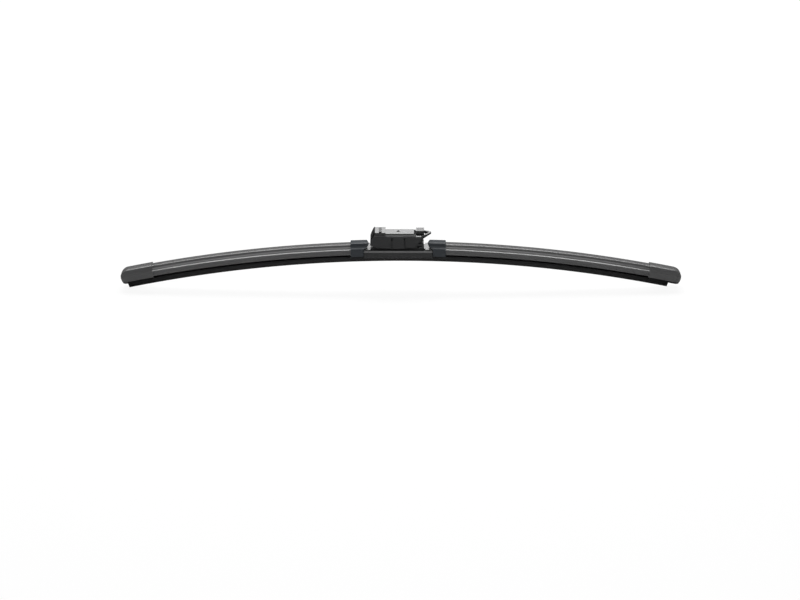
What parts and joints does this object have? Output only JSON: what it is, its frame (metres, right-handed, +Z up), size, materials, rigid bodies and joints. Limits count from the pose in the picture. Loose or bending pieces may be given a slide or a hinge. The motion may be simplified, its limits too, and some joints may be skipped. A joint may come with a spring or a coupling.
{
  "type": "wiper blade",
  "caption": "Flat windscreen wiper blade: rubber lip on sprung steel rails under a black spoiler, with a rocking clip-on arm adapter and latch.",
  "frame": {"origin": "middle of the adapter's flat seat, straight above the pivot pin", "axes": "+X along the blade towards the latch end of the adapter, +Y across the blade towards its rear edge, +Z up, away from the glass"},
  "size_m": [0.5512, 0.0198, 0.0626],
  "materials": {
    "black_rubber": "matt moulded rubber",
    "spoiler_plastic": "satin extruded soft plastic",
    "sleeve_plastic": "satin moulded plastic with a slight blue cast",
    "black_plastic": "satin moulded plastic with a fine spark-eroded grain",
    "spring_steel": "rolled spring steel"
  },
  "bodies": {
    "adapter": {"adapter": "black_plastic"},
    "blade": {"wiper_rubber": "black_rubber", "spring_rail_front": "spring_steel", "spring_rail_rear": "spring_steel", "spoiler_left": "spoiler_plastic", "spoiler_right": "spoiler_plastic", "cover_sleeve_left": "sleeve_plastic", "cover_sleeve_right": "sleeve_plastic", "connector_base": "black_plastic", "rail_saddle": "spring_steel", "pivot_pin": "spring_steel", "end_cap_left": "black_plastic", "end_cap_right": "black_plastic"},
    "latch": {"latch_button": "black_plastic"}
  },
  "joints": [
    {"name": "blade_rock", "type": "hinge", "parent": "adapter", "child": "blade", "pos_m": [0, 0, -0.0082], "axis": [0, 1, 0], "range_deg": [-5, 5]},
    {"name": "latch_press", "type": "hinge", "parent": "adapter", "child": "latch", "pos_m": [-0.00585, 0, -0.00305], "axis": [0, 1, 0], "range_deg": [0, 5], "stiffness_Nm_per_rad": 3}
  ]
}
